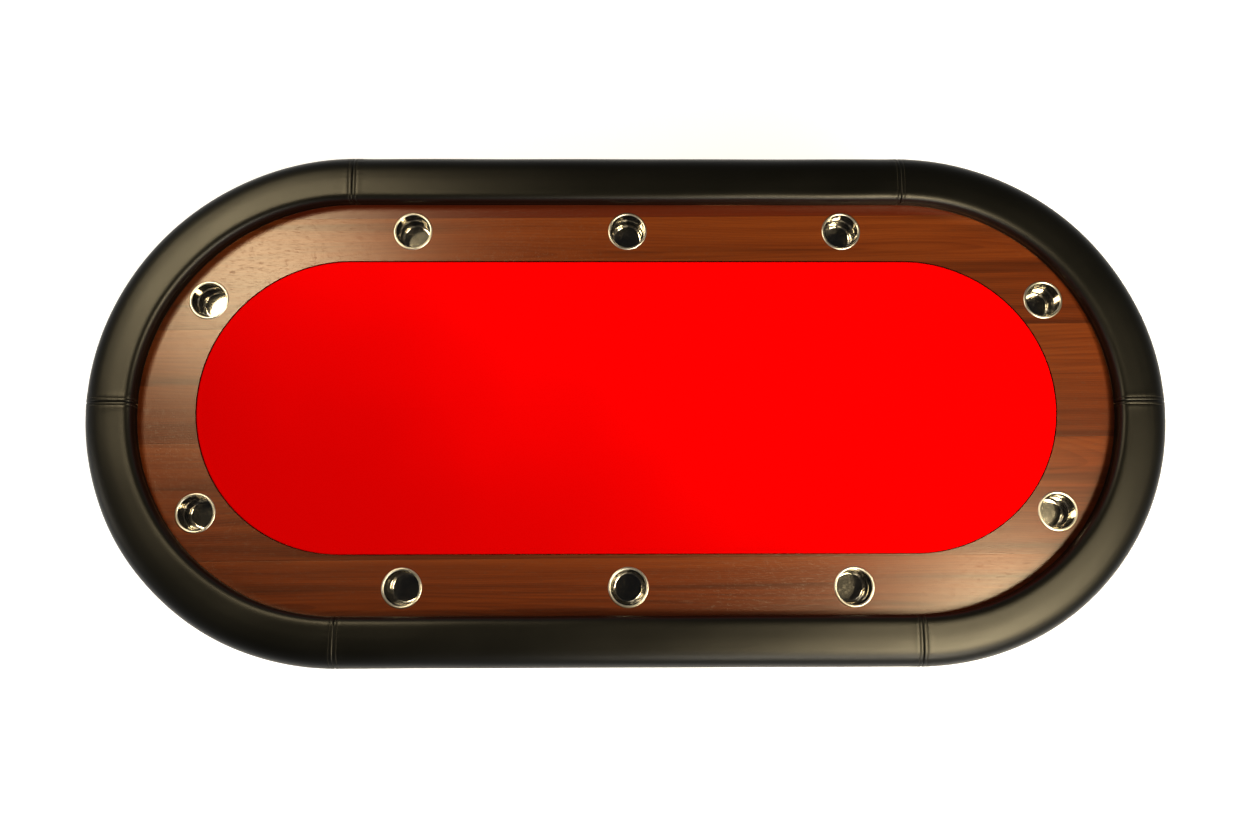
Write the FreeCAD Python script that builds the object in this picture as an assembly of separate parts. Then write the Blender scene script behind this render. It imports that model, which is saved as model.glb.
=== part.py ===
import FreeCAD, Part
import math
import os

# An oval card table: a padded rail and a veneered racetrack with drop-in cup holders round a
# cloth-covered playing panel, carried on two folding steel leg frames.
# Millimetres. +Z is up, the floor is Z = 0 and the origin is the middle of the footprint.
# +X runs along the table. "front" is -Y, "back" is +Y, "left" is -X and "right" is +X.

V = FreeCAD.Vector
ORIGIN = V(0, 0, 0)
UP = V(0, 0, 1)
ALONG_Y = V(0, 1, 0)

# ---- driving dimensions ----------------------------------------------------------------------

table_length = 2444.0          # over the rail covers
table_width = 1168.0           # over the rail covers
table_height = 750.0           # floor to the top of the racetrack

rail_width = 108.0             # over the covers
racetrack_width = 137.0        # playing cloth edge to the rail's inner face, along the sides
playfield_stretch = 6.0        # how much further out the playing panel's end centres are

board_thickness = 18.0         # base board, racetrack and rail board
rail_overhang = 24.0           # rail cover beyond the base board's edge

cover_thickness = 1.2
foam_thickness = 25.0
foam_crown = 1.5
foam_inner_round = 13.0
foam_outer_round = 24.0
cover_hem = 30.0               # cover turned under the rail board

playing_board_thickness = 12.0
playing_foam_thickness = 5.5
cloth_thickness = 1.0
cloth_hem = 30.0
cloth_edge_round = 4.0
panel_clearance = 1.5          # cloth edge to the racetrack's inner edge

cup_setback = 63.0             # cup centre to the rail's inner face
cup_pitch = 503.0              # along the cup line, between the cups of a long side
cup_end_pitch = 520.0          # along the cup line, from a side's last cup to the end cup
cup_throat_radius = 39.2
cup_lip_width = 6.3
cup_flange_radius = cup_throat_radius + cup_lip_width
cup_step_radius = cup_throat_radius - 2.4
cup_lower_radius = cup_step_radius - 2.2
cup_floor_radius = cup_lower_radius - 1.1
cup_step_depth = 24.0
cup_step_height = 3.0
cup_depth = 58.0
cup_corner_round = 4.5
cup_wall = 0.8
cup_lip_height = 2.0
cup_hole_clearance = 1.5

rail_bolt_inset = 36.0         # rail bolt centre in from the base board's edge
rail_bolt_end_margin = 160.0   # outer side bolts in from the end of the straight
rail_bolt_end_angle = 45.0
bolt_radius = 4.0
bolt_head_flats = 13.0
bolt_head_height = 5.3
bolt_hole_clearance = 0.5
washer_radius = 12.0
washer_thickness = 1.6
tee_nut_flange_radius = 12.0
tee_nut_flange_thickness = 1.6
tee_nut_barrel_radius = 5.25
tee_nut_barrel_length = 13.0
bolt_end_gap = 5.0             # bolt tip to the top of the tee nut
thread_clearance = 0.05

wood_screw_radius = 2.25
wood_screw_head_radius = 4.5
wood_screw_head_height = 2.6
screw_clearance = 0.05
racetrack_screw_bite = 12.0
playing_screw_bite = 9.0
playing_screw_inset = 99.0     # panel screws in from the panel's long edges
playing_screw_end_margin = 44.0
playing_screw_end_inset = 53.0

leg_radius = 16.0
leg_wall = 1.6
leg_splay = 5.0                # feet lean outward, so that the load holds the frame on its stop
leg_fold_gap = 300.0           # between the two frames' feet when both are folded
leg_to_cup_gap = 31.0
leg_head = 12.0                # tube above the pivot
hinge_drop = 27.0              # base board's underside to the pivot
upper_crossbar_drop = 120.0    # pivot to the crossbar's axis, along the leg
lower_crossbar_drop = 480.0
crossbar_radius = 12.5
crossbar_wall = 1.5

foot_cap_wall = 4.5
foot_cap_sleeve = 34.0
foot_cap_base = 9.0
foot_cap_clearance = 0.05

pivot_bolt_radius = 5.0
pivot_head_flats = 17.0
pivot_head_height = 6.4
pivot_nut_height = 9.0
pivot_washer_radius = 10.5
pivot_washer_thickness = 2.0
running_clearance = 0.05
open_gap = 0.3                 # between parts that pass each other without touching

clamp_radius = 36.0            # pivot to the clamp stud's axis
clamp_stud_radius = 4.0
clamp_head_radius = 8.5
clamp_head_height = 3.0
clamp_washer_radius = 11.0
clamp_washer_thickness = 1.6
knob_radius = 19.0
knob_hub_radius = 9.0
knob_hub_height = 6.0
knob_grip_height = 14.0
knob_lobes = 5
knob_scallop_radius = 9.0
stud_tip = 3.0                 # stud beyond the knob

bracket_plate = 3.0
bracket_gap = 1.0              # cheek to the leg, each side
bracket_left = 36.0            # plate from the pivot, outward
bracket_right = 62.0           # plate from the pivot, toward the table's middle
bracket_flange = 22.0          # plate beyond each cheek, for the screws
bracket_rim = 9.0              # metal outside the clamp slot
stop_top = 24.0                # pivot to the stop web's top, along the leg
bracket_screw_edge = 10.0
bracket_screw_radius = 2.5
bracket_screw_length = 15.0
bracket_screw_head_radius = 4.8
bracket_screw_head_height = 2.6

# ---- worked out from them --------------------------------------------------------------------

rail_outer = table_width / 2
rail_inner = rail_outer - rail_width
straight = (table_length - table_width) / 2
base_radius = rail_outer - rail_overhang

racetrack_top = table_height
racetrack_bottom = racetrack_top - board_thickness
base_top = racetrack_bottom
base_bottom = base_top - board_thickness

playfield_straight = straight + playfield_stretch
playfield_radius = rail_inner - racetrack_width
racetrack_opening = playfield_radius + panel_clearance

rail_board_bottom = racetrack_top + cover_thickness
rail_board_top = rail_board_bottom + board_thickness
rail_core_inner = rail_inner + cover_thickness
rail_core_outer = rail_outer - cover_thickness
rail_bolt_radius = base_radius - rail_bolt_inset

cup_line = rail_inner - cup_setback
cup_hole_radius = cup_throat_radius + cup_wall + cup_hole_clearance

hinge_z = base_bottom - hinge_drop
splay = math.radians(leg_splay)
leg_length = hinge_z / math.cos(splay)
foot_cap_radius = leg_radius + foot_cap_wall
hinge_x = leg_fold_gap / 2 + leg_length
leg_y = cup_line - cup_hole_radius - leg_to_cup_gap - foot_cap_radius
cheek_near = leg_radius + bracket_gap          # leg's axis to a cheek's inner face
cheek_far = cheek_near + bracket_plate
bracket_half = cheek_near + bracket_flange
cheek_radius = clamp_radius + clamp_stud_radius + open_gap + bracket_rim
plate_under = hinge_drop - bracket_plate       # pivot to the plate's underside


# ---- helpers ---------------------------------------------------------------------------------

def line(a, b):
    return Part.LineSegment(a, b).toShape()


def arc(a, middle, b):
    return Part.Arc(a, middle, b).toShape()


def face(edges):
    return Part.Face(Part.Wire(edges))


def polygon(points):
    return Part.Face(Part.makePolygon(points + [points[0]]))


def stadium(half_straight, radius, bottom, top):
    """A slab with two straight sides and two half-round ends."""
    corner = [V(sx * half_straight, sy * radius, bottom) for sx, sy in ((-1, -1), (1, -1), (1, 1), (-1, 1))]
    tip = half_straight + radius
    outline = face([
        line(corner[0], corner[1]),
        arc(corner[1], V(tip, 0, bottom), corner[2]),
        line(corner[2], corner[3]),
        arc(corner[3], V(-tip, 0, bottom), corner[0]),
    ])
    return outline.extrude(V(0, 0, top - bottom))


def cylinder(radius, bottom, top, x=0.0, y=0.0):
    return Part.makeCylinder(radius, top - bottom, V(x, y, bottom), UP)


def cross_cylinder(radius, near, far, x=0.0, z=0.0):
    """A cylinder along Y from near to far."""
    return Part.makeCylinder(radius, far - near, V(x, near, z), ALONG_Y)


def cut_all(shape, tools):
    return shape.cut(Part.makeCompound(tools))


def largest_edges_at(shape, z):
    """The edges of a solid that lie wholly in the plane at height z."""
    return [e for e in shape.Edges if all(abs(v.Z - z) < 1e-6 for v in e.Vertexes)
            and abs(e.BoundBox.ZLength) < 1e-6]


def export(name, *solids):
    shape = solids[0] if len(solids) == 1 else Part.makeCompound(list(solids))
    shape.exportStep(f"parts/{name}.step")


def cup_line_point(distance):
    """The point of the cup line in the +X +Y quarter, that far from the middle of the side."""
    if distance <= straight:
        return distance, cup_line
    angle = math.pi / 2 - (distance - straight) / cup_line
    return straight + cup_line * math.cos(angle), cup_line * math.sin(angle)


def mirrored(point):
    """The same point in all four quarters, without repeats."""
    x, y = point
    return sorted({(sx * x, sy * y) for sx in (-1, 1) for sy in (-1, 1)})


def cup_places():
    places = []
    for distance in (0.0, cup_pitch, cup_pitch + cup_end_pitch):
        places += [(x + 0.0, y) for x, y in mirrored(cup_line_point(distance))]
    return sorted({(round(x, 9) + 0.0, round(y, 9)) for x, y in places})


def rail_bolt_places():
    angle = math.radians(rail_bolt_end_angle)
    end = (straight + rail_bolt_radius * math.cos(angle), rail_bolt_radius * math.sin(angle))
    side = (straight - rail_bolt_end_margin, rail_bolt_radius)
    middle = [(0.0, -rail_bolt_radius), (0.0, rail_bolt_radius)]
    return middle + mirrored(side) + mirrored(end)


def racetrack_screw_places():
    side = mirrored(cup_line_point(cup_pitch / 2))
    shoulder = mirrored(cup_line_point(cup_pitch + cup_end_pitch / 2))
    tip = straight + cup_line
    return side + shoulder + [(-tip, 0.0), (tip, 0.0)]


def playing_screw_places():
    y = playfield_radius - playing_screw_inset
    x = playfield_straight - playing_screw_end_margin
    tip = playfield_straight + playfield_radius - playing_screw_end_inset
    return mirrored((x, y)) + [(0.0, -y), (0.0, y), (-tip, 0.0), (tip, 0.0)]


# ---- boards ----------------------------------------------------------------------------------

def wood_screw(x, y, bite_top):
    """A countersunk screw, flush with the base board's underside."""
    head_bottom = Part.makeCone(
        wood_screw_head_radius, wood_screw_radius, wood_screw_head_height, V(x, y, base_bottom), UP)
    shank = cylinder(wood_screw_radius, base_bottom + wood_screw_head_height, bite_top, x, y)
    return head_bottom.fuse(shank).removeSplitter()


def wood_screw_hole(x, y, bite_top):
    head = Part.makeCone(
        wood_screw_head_radius + screw_clearance, wood_screw_radius + screw_clearance,
        wood_screw_head_height, V(x, y, base_bottom), UP)
    bore = cylinder(wood_screw_radius + screw_clearance, base_bottom, bite_top + screw_clearance, x, y)
    return head.fuse(bore)


def build_boards():
    cup_holes = [cylinder(cup_hole_radius, base_bottom - 1, racetrack_top + 1, x, y)
                 for x, y in cup_places()]
    bolt_holes = [cylinder(bolt_radius + bolt_hole_clearance, base_bottom - 1, rail_board_top, x, y)
                  for x, y in rail_bolt_places()]
    racetrack_bite_top = racetrack_bottom + racetrack_screw_bite
    playing_bite_top = base_top + cloth_thickness + playing_screw_bite
    racetrack_screw_holes = [wood_screw_hole(x, y, racetrack_bite_top) for x, y in racetrack_screw_places()]
    playing_screw_holes = [wood_screw_hole(x, y, playing_bite_top) for x, y in playing_screw_places()]
    bracket_screw_holes = [
        Part.makeCylinder(bracket_screw_radius + screw_clearance, bracket_screw_length - bracket_plate
                          + screw_clearance, V(x, y, base_bottom), UP)
        for x, y in bracket_screw_places() + turned_places(bracket_screw_places())
    ]

    base = stadium(straight, base_radius, base_bottom, base_top)
    base = cut_all(base, cup_holes + bolt_holes + racetrack_screw_holes + playing_screw_holes
                   + bracket_screw_holes)
    export("base_board", base)

    ring = stadium(straight, base_radius, racetrack_bottom, racetrack_top)
    opening = stadium(playfield_straight, racetrack_opening, racetrack_bottom - 1, racetrack_top + 1)
    ring = cut_all(ring, [opening] + cup_holes + bolt_holes + racetrack_screw_holes)
    export("racetrack", ring)

    export("racetrack_screws", *[wood_screw(x, y, racetrack_bite_top) for x, y in racetrack_screw_places()])
    export("playing_board_screws", *[wood_screw(x, y, playing_bite_top) for x, y in playing_screw_places()])
    return playing_screw_holes


def build_playing_panel(screw_holes):
    board_bottom = base_top + cloth_thickness
    board_top = board_bottom + playing_board_thickness
    foam_top = board_top + playing_foam_thickness
    cloth_top = foam_top + cloth_thickness
    core_radius = playfield_radius - cloth_thickness

    board = stadium(playfield_straight, core_radius, board_bottom, board_top)
    export("playing_board", cut_all(board, screw_holes))

    foam = stadium(playfield_straight, core_radius, board_top, foam_top)
    foam = foam.makeFillet(cloth_edge_round - cloth_thickness, largest_edges_at(foam, foam_top))
    export("playing_foam", foam)

    cloth = stadium(playfield_straight, playfield_radius, base_top, cloth_top)
    cloth = cloth.makeFillet(cloth_edge_round, largest_edges_at(cloth, cloth_top))
    core = stadium(playfield_straight, core_radius, board_bottom, foam_top)
    core = core.makeFillet(cloth_edge_round - cloth_thickness, largest_edges_at(core, foam_top))
    hem_window = stadium(playfield_straight, playfield_radius - cloth_hem, base_top - 1, board_bottom)
    export("playing_cloth", cut_all(cloth, [core, hem_window]))


# ---- rail ------------------------------------------------------------------------------------
# The rail's section is drawn in the XZ plane, with X as the distance from the table's long
# centre line, or from an end's centre. Straight runs extrude it and ends revolve it.

def padded_section(bottom):
    """The padding's section from the given height up, flat-sided below and rounded above."""
    top = rail_board_top + foam_thickness
    inner_low = V(rail_core_inner, 0, bottom)
    inner_high = V(rail_core_inner, 0, top - foam_inner_round)
    crown_start = V(rail_core_inner + foam_inner_round, 0, top)
    crown_end = V(rail_core_outer - foam_outer_round, 0, top)
    crown_mid = V((crown_start.x + crown_end.x) / 2, 0, top + foam_crown)
    outer_high = V(rail_core_outer, 0, top - foam_outer_round)
    outer_low = V(rail_core_outer, 0, bottom)
    bend = 1 - math.sqrt(0.5)
    inner_mid = V(rail_core_inner + foam_inner_round * bend, 0, top - foam_inner_round * bend)
    outer_mid = V(rail_core_outer - foam_outer_round * bend, 0, top - foam_outer_round * bend)
    return face([
        line(inner_low, inner_high),
        arc(inner_high, inner_mid, crown_start),
        arc(crown_start, crown_mid, crown_end),
        arc(crown_end, outer_mid, outer_high),
        line(outer_high, outer_low),
        line(outer_low, inner_low),
    ])


def cover_section():
    """The cover wraps the padding and the rail board, and is turned in underneath."""
    core = padded_section(rail_board_bottom)
    outside = core.makeOffset2D(cover_thickness)
    window = polygon([
        V(rail_core_inner + cover_hem, 0, racetrack_top - 1),
        V(rail_core_outer - cover_hem, 0, racetrack_top - 1),
        V(rail_core_outer - cover_hem, 0, rail_board_bottom),
        V(rail_core_inner + cover_hem, 0, rail_board_bottom),
    ])
    return outside.cut(core).cut(window).Faces[0]


def along_side(section):
    """The section run along the back side's straight."""
    start = section.copy()
    start.rotate(ORIGIN, UP, 90)
    start.translate(V(-straight, 0, 0))
    return start.extrude(V(2 * straight, 0, 0))


def round_end(section, start_angle, sweep):
    """The section turned about the right-hand end's centre."""
    part = section.revolve(ORIGIN, UP, sweep)
    part.rotate(ORIGIN, UP, start_angle)
    part.translate(V(straight, 0, 0))
    return part


def turned(shape, angle=180.0):
    """A copy of the shape, turned about the table's vertical axis."""
    other = shape.copy()
    other.rotate(ORIGIN, UP, angle)
    return other


def build_rail():
    bolt_holes = [cylinder(tee_nut_barrel_radius, rail_board_bottom - 1, rail_board_top, x, y)
                  for x, y in rail_bolt_places()]
    flange_seats = [
        cylinder(tee_nut_flange_radius, rail_board_top - tee_nut_flange_thickness, rail_board_top, x, y)
        for x, y in rail_bolt_places()
    ]
    outer = stadium(straight, rail_core_outer, rail_board_bottom, rail_board_top)
    inner = stadium(straight, rail_core_inner, rail_board_bottom - 1, rail_board_top + 1)
    export("rail_board", cut_all(outer, [inner] + bolt_holes + flange_seats))

    foam_back = along_side(padded_section(rail_board_top))
    foam_right = round_end(padded_section(rail_board_top), -90, 180)
    export("rail_foam_strips", foam_back, foam_right, turned(foam_back), turned(foam_right))

    cover_back = along_side(cover_section())
    cover_right_back = round_end(cover_section(), 0, 90)
    cover_right_front = round_end(cover_section(), -90, 90)
    export("rail_cover_back", cover_back)
    export("rail_cover_front", turned(cover_back))
    export("rail_cover_right_back", cover_right_back)
    export("rail_cover_right_front", cover_right_front)
    export("rail_cover_left_front", turned(cover_right_back))
    export("rail_cover_left_back", turned(cover_right_front))


def hexagon(flats, bottom, top, x, y):
    corner = flats / math.sqrt(3)
    points = [V(x + corner * math.cos(math.radians(60 * i)), y + corner * math.sin(math.radians(60 * i)),
                bottom) for i in range(6)]
    return polygon(points).extrude(V(0, 0, top - bottom))


def build_rail_fixings():
    bolts = []
    washers = []
    nuts = []
    washer_bottom = base_bottom - washer_thickness
    nut_top = rail_board_top
    for x, y in rail_bolt_places():
        head = hexagon(bolt_head_flats, washer_bottom - bolt_head_height, washer_bottom, x, y)
        shank = cylinder(bolt_radius, washer_bottom, nut_top - bolt_end_gap, x, y)
        bolts.append(head.fuse(shank))
        ring = cylinder(washer_radius, washer_bottom, base_bottom, x, y)
        washers.append(ring.cut(cylinder(bolt_radius + bolt_hole_clearance, washer_bottom - 1,
                                         base_bottom + 1, x, y)))
        flange = cylinder(tee_nut_flange_radius, nut_top - tee_nut_flange_thickness, nut_top, x, y)
        barrel = cylinder(tee_nut_barrel_radius, nut_top - tee_nut_barrel_length, nut_top, x, y)
        thread = cylinder(bolt_radius + thread_clearance, racetrack_top, nut_top + 1, x, y)
        nuts.append(flange.fuse(barrel).cut(thread))
    export("rail_bolts", *bolts)
    export("rail_washers", *washers)
    export("rail_tee_nuts", *nuts)


# ---- cup holders -----------------------------------------------------------------------------

def cup_well(grow, top):
    """The stepped well's volume, grown outward and downward, up to the given height."""
    floor = -cup_depth - grow
    corner = cup_corner_round + grow
    corner_x = cup_floor_radius - cup_corner_round
    corner_z = -cup_depth + cup_corner_round
    bend = math.sqrt(0.5)
    shoulder_low = -cup_step_depth - cup_step_height - grow * (math.sqrt(2) - 1)
    shoulder_high = -cup_step_depth - grow * (math.sqrt(2) - 1)
    floor_edge = V(corner_x, 0, floor)
    corner_mid = V(corner_x + corner * bend, 0, corner_z - corner * bend)
    wall_foot = V(cup_floor_radius + grow, 0, corner_z)
    step_low = V(cup_lower_radius + grow, 0, shoulder_low)
    step_high = V(cup_step_radius + grow, 0, shoulder_high)
    throat = V(cup_throat_radius + grow, 0, 0)
    edges = [
        line(V(0, 0, floor), floor_edge),
        arc(floor_edge, corner_mid, wall_foot),
        line(wall_foot, step_low),
        line(step_low, step_high),
        line(step_high, throat),
    ]
    if top > 0:
        edges.append(line(throat, V(throat.x, 0, top)))
    edges += [line(V(throat.x, 0, top), V(0, 0, top)), line(V(0, 0, top), V(0, 0, floor))]
    return face(edges).revolve(ORIGIN, UP, 360)


def cup_holder():
    """A drawn steel cup whose rolled lip rests on the racetrack, at height 0."""
    lip_mid = (cup_throat_radius + cup_flange_radius) / 2
    inner_low = V(cup_throat_radius, 0, 0)
    outer_low = V(cup_flange_radius, 0, 0)
    lip = face([
        line(outer_low, inner_low),
        arc(inner_low, V(lip_mid, 0, cup_lip_height), outer_low),
    ]).revolve(ORIGIN, UP, 360)
    body = cup_well(cup_wall, 0.0)
    return body.fuse(lip).cut(cup_well(0.0, cup_lip_height + 1)).removeSplitter()


def build_cup_holders():
    cup = cup_holder()
    for number, (x, y) in enumerate(cup_places(), 1):
        placed = cup.copy()
        placed.translate(V(x, y, racetrack_top))
        export(f"cup_holder_{number:02d}", placed)


# ---- leg frames ------------------------------------------------------------------------------
# A frame is drawn about its pivots' axis, open and upright, with the table's middle towards +X.
# It is then splayed and placed at the left-hand end. The right-hand one is the same, turned round.

def at_pivot(shape, leaned=True):
    placed = shape.copy()
    if leaned:
        placed.rotate(ORIGIN, ALONG_Y, leg_splay)
    placed.translate(V(-hinge_x, 0, hinge_z))
    return placed


def leaned_point(x, z, y=0.0):
    """A point of the upright leg, splayed."""
    return V(x * math.cos(splay) + z * math.sin(splay), y, z * math.cos(splay) - x * math.sin(splay))


def turned_places(places):
    return [(-x, -y) for x, y in places]


def export_pair(name, shapes, turned_name=None):
    """One node for each end. A front node at one end is a back node at the other."""
    export(name.format(end="left"), *shapes)
    export((turned_name or name).format(end="right"), *[turned(s) for s in shapes])


def both_legs(make):
    return [make(side) for side in (-1, 1)]


def leg_tube(side):
    y = side * leg_y
    bottom = -leg_length + foot_cap_base
    outside = cylinder(leg_radius, bottom, leg_head, 0, y)
    hollow = cylinder(leg_radius - leg_wall, bottom - 1, leg_head + 1, 0, y)
    near, far = y - 2 * leg_radius, y + 2 * leg_radius
    pivot_hole = cross_cylinder(pivot_bolt_radius + running_clearance, near, far)
    stud_hole = cross_cylinder(clamp_stud_radius + running_clearance, near, far, 0, -clamp_radius)
    return at_pivot(cut_all(outside, [hollow, pivot_hole, stud_hole]))


def crossbar(drop):
    """A tube with its ends shaped to the legs."""
    bar = cross_cylinder(crossbar_radius, -leg_y, leg_y, 0, -drop)
    hollow = cross_cylinder(crossbar_radius - crossbar_wall, -leg_y - 1, leg_y + 1, 0, -drop)
    legs = [cylinder(leg_radius, -drop - 2 * leg_radius, -drop + 2 * leg_radius, 0, side * leg_y)
            for side in (-1, 1)]
    return at_pivot(cut_all(bar, [hollow] + legs))


def foot_cap(side):
    """A moulded cap round the leg's end, cut level with the floor."""
    y = side * leg_y
    top = -leg_length + foot_cap_base + foot_cap_sleeve
    spare = foot_cap_radius * math.tan(splay)
    body = cylinder(foot_cap_radius, -leg_length - 2 * spare, top, 0, y)
    body = body.makeFillet(foot_cap_wall / 2.5, largest_edges_at(body, top))
    socket = cylinder(leg_radius + foot_cap_clearance, -leg_length + foot_cap_base, top + 1, 0, y)
    placed = at_pivot(body.cut(socket))
    reach = 4 * foot_cap_radius
    below = Part.makeBox(reach, reach, reach,
                         V(placed.BoundBox.Center.x - reach / 2, y - reach / 2, -reach))
    return placed.cut(below)


def leg_plug(side):
    """A plug that closes the tube's top end."""
    y = side * leg_y
    stem = cylinder(leg_radius - leg_wall, leg_head - 6, leg_head, 0, y)
    head = cylinder(leg_radius, leg_head, leg_head + 2, 0, y)
    head = head.makeFillet(1.2, largest_edges_at(head, leg_head + 2))
    bolt_room = cross_cylinder(pivot_bolt_radius + 1, y - leg_radius, y + leg_radius)
    return at_pivot(stem.fuse(head).cut(bolt_room).removeSplitter())


def slot_tool():
    """The clamp stud's arc, from the open leg to the folded one."""
    half = clamp_stud_radius + open_gap
    inner = clamp_radius - half
    outer = clamp_radius + half

    def at(radius, angle):
        return V(radius * math.cos(angle), -1, radius * math.sin(angle))

    open_angle = -math.pi / 2 - splay
    middle = open_angle / 2
    open_end = leaned_point(0, -clamp_radius, -1) + leaned_point(-half, 0)
    folded_end = V(clamp_radius, -1, half)
    ring = face([
        arc(at(outer, open_angle), at(outer, middle), at(outer, 0)),
        arc(at(outer, 0), folded_end, at(inner, 0)),
        arc(at(inner, 0), at(inner, middle), at(inner, open_angle)),
        arc(at(inner, open_angle), open_end, at(outer, open_angle)),
    ])
    return ring.extrude(V(0, bracket_plate + 2, 0))


def cheek():
    """A quadrant plate with the pivot's hole and the clamp's slot, from Y = 0 to its thickness."""
    web_back = -(leg_radius + bracket_plate)
    low = math.sqrt(cheek_radius ** 2 - web_back ** 2)
    corner = leaned_point(web_back, -low)
    right = V(cheek_radius, 0, 0)
    lowest = V(cheek_radius * math.cos(-math.pi / 4), 0, cheek_radius * math.sin(-math.pi / 4))
    plate = face([
        line(V(-bracket_left, 0, plate_under), corner),
        arc(corner, lowest, right),
        line(right, V(bracket_right, 0, plate_under)),
        line(V(bracket_right, 0, plate_under), V(-bracket_left, 0, plate_under)),
    ]).extrude(V(0, bracket_plate, 0))
    pivot_hole = cross_cylinder(pivot_bolt_radius, -1, bracket_plate + 1)
    return plate.cut(pivot_hole).cut(slot_tool())


def bracket(side):
    """A folded steel bracket: a plate under the board, two cheeks and the stop web between them."""
    plate = Part.makeBox(bracket_left + bracket_right, 2 * bracket_half, bracket_plate,
                         V(-bracket_left, -bracket_half, plate_under))
    cheeks = [cheek(), cheek()]
    cheeks[0].translate(V(0, -cheek_far, 0))
    cheeks[1].translate(V(0, cheek_near, 0))
    web_bottom = math.sqrt(cheek_radius ** 2 - (leg_radius + bracket_plate) ** 2)
    web = Part.makeBox(bracket_plate, 2 * cheek_near, web_bottom - stop_top,
                       V(-leg_radius - bracket_plate, -cheek_near, -web_bottom))
    web.rotate(ORIGIN, ALONG_Y, leg_splay)
    body = plate.fuse(cheeks).fuse(web).removeSplitter()
    body.translate(V(0, side * leg_y, 0))
    screw_holes = [
        cylinder(bracket_screw_radius + screw_clearance, base_bottom - bracket_plate - 1, base_bottom + 1, x, y)
        for x, y in bracket_screw_places()
    ]
    return cut_all(at_pivot(body, False), screw_holes)


def bracket_screw_places():
    """The left-hand brackets' screws, four to each."""
    xs = (-hinge_x - bracket_left + bracket_screw_edge, -hinge_x + bracket_right - bracket_screw_edge)
    dy = bracket_half - bracket_screw_edge
    return [(x, side * leg_y + s * dy) for side in (-1, 1) for x in xs for s in (-1, 1)]


def bracket_screw(x, y):
    under = base_bottom - bracket_plate
    head = Part.makeCone(bracket_screw_head_radius * 0.62, bracket_screw_head_radius,
                         bracket_screw_head_height, V(x, y, under - bracket_screw_head_height), UP)
    shank = Part.makeCylinder(bracket_screw_radius, bracket_screw_length, V(x, y, under), UP)
    return head.fuse(shank).removeSplitter()


def cross_hexagon(flats, near, far):
    nut = hexagon(flats, near, far, 0, 0)
    nut.rotate(ORIGIN, V(1, 0, 0), -90)
    return nut


def outward(shape, side):
    """A fixing drawn with its outer end towards +Y, set at one leg."""
    placed = shape.copy()
    if side < 0:
        placed.rotate(ORIGIN, UP, 180)
    placed.translate(V(0, side * leg_y, 0))
    return placed


def pivot_bolt(side):
    washer_far = cheek_far + pivot_washer_thickness
    shank = cross_cylinder(pivot_bolt_radius, -washer_far - pivot_nut_height - 2, washer_far)
    head = cross_hexagon(pivot_head_flats, washer_far, washer_far + pivot_head_height)
    return at_pivot(outward(shank.fuse(head), side), False)


def pivot_nut(side):
    washer_far = cheek_far + pivot_washer_thickness
    nut = cross_hexagon(pivot_head_flats, -washer_far - pivot_nut_height, -washer_far)
    nut = nut.cut(cross_cylinder(pivot_bolt_radius + thread_clearance, -washer_far - pivot_nut_height - 1, 0))
    return at_pivot(outward(nut, side), False)


def pivot_washer(side, near):
    ring = cross_cylinder(pivot_washer_radius, near, near + pivot_washer_thickness)
    ring = ring.cut(cross_cylinder(pivot_bolt_radius + thread_clearance, near - 1, near + pivot_washer_thickness + 1))
    return at_pivot(outward(ring, side), False)


def clamp_stud(side):
    """A stud through the leg and both slots, with its button head on the inner cheek."""
    head_near = -cheek_far - open_gap
    tip = knob_near() + knob_hub_height + knob_grip_height + stud_tip
    shank = cross_cylinder(clamp_stud_radius, head_near, tip)
    head_far = head_near - clamp_head_height
    head = cross_cylinder(clamp_head_radius, head_far, head_near)
    rim = [e for e in head.Edges if abs(e.BoundBox.YMax - head_far) < 1e-6]
    stud = shank.fuse(head.makeFillet(clamp_head_height * 0.7, rim)).removeSplitter()
    stud.translate(V(0, 0, -clamp_radius))
    return at_pivot(outward(stud, side))


def clamp_washer(side):
    near = cheek_far + open_gap
    ring = cross_cylinder(clamp_washer_radius, near, near + clamp_washer_thickness)
    ring = ring.cut(cross_cylinder(clamp_stud_radius + running_clearance, near - 1, near + clamp_washer_thickness + 1))
    ring.translate(V(0, 0, -clamp_radius))
    return at_pivot(outward(ring, side))


def knob_near():
    return cheek_far + open_gap + clamp_washer_thickness


def knob(side):
    """A star knob on the stud."""
    near = knob_near()
    grip_near = near + knob_hub_height
    grip_far = grip_near + knob_grip_height
    hub = cross_cylinder(knob_hub_radius, near, grip_near)
    grip = cross_cylinder(knob_radius, grip_near, grip_far)
    scallop_at = knob_radius + knob_scallop_radius * 0.45
    scallops = []
    for i in range(knob_lobes):
        angle = 2 * math.pi * i / knob_lobes
        scallops.append(cross_cylinder(knob_scallop_radius, grip_near - 1, grip_far + 1,
                                       scallop_at * math.cos(angle), scallop_at * math.sin(angle)))
    grip = cut_all(grip, scallops)
    outer_rim = [e for e in grip.Edges if abs(e.BoundBox.YMin - grip_far) < 1e-6]
    grip = grip.makeFillet(2.0, outer_rim)
    body = hub.fuse(grip).cut(cross_cylinder(clamp_stud_radius + running_clearance, near - 1, grip_far + 1))
    body = body.removeSplitter()
    body.translate(V(0, 0, -clamp_radius))
    return at_pivot(outward(body, side))


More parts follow.
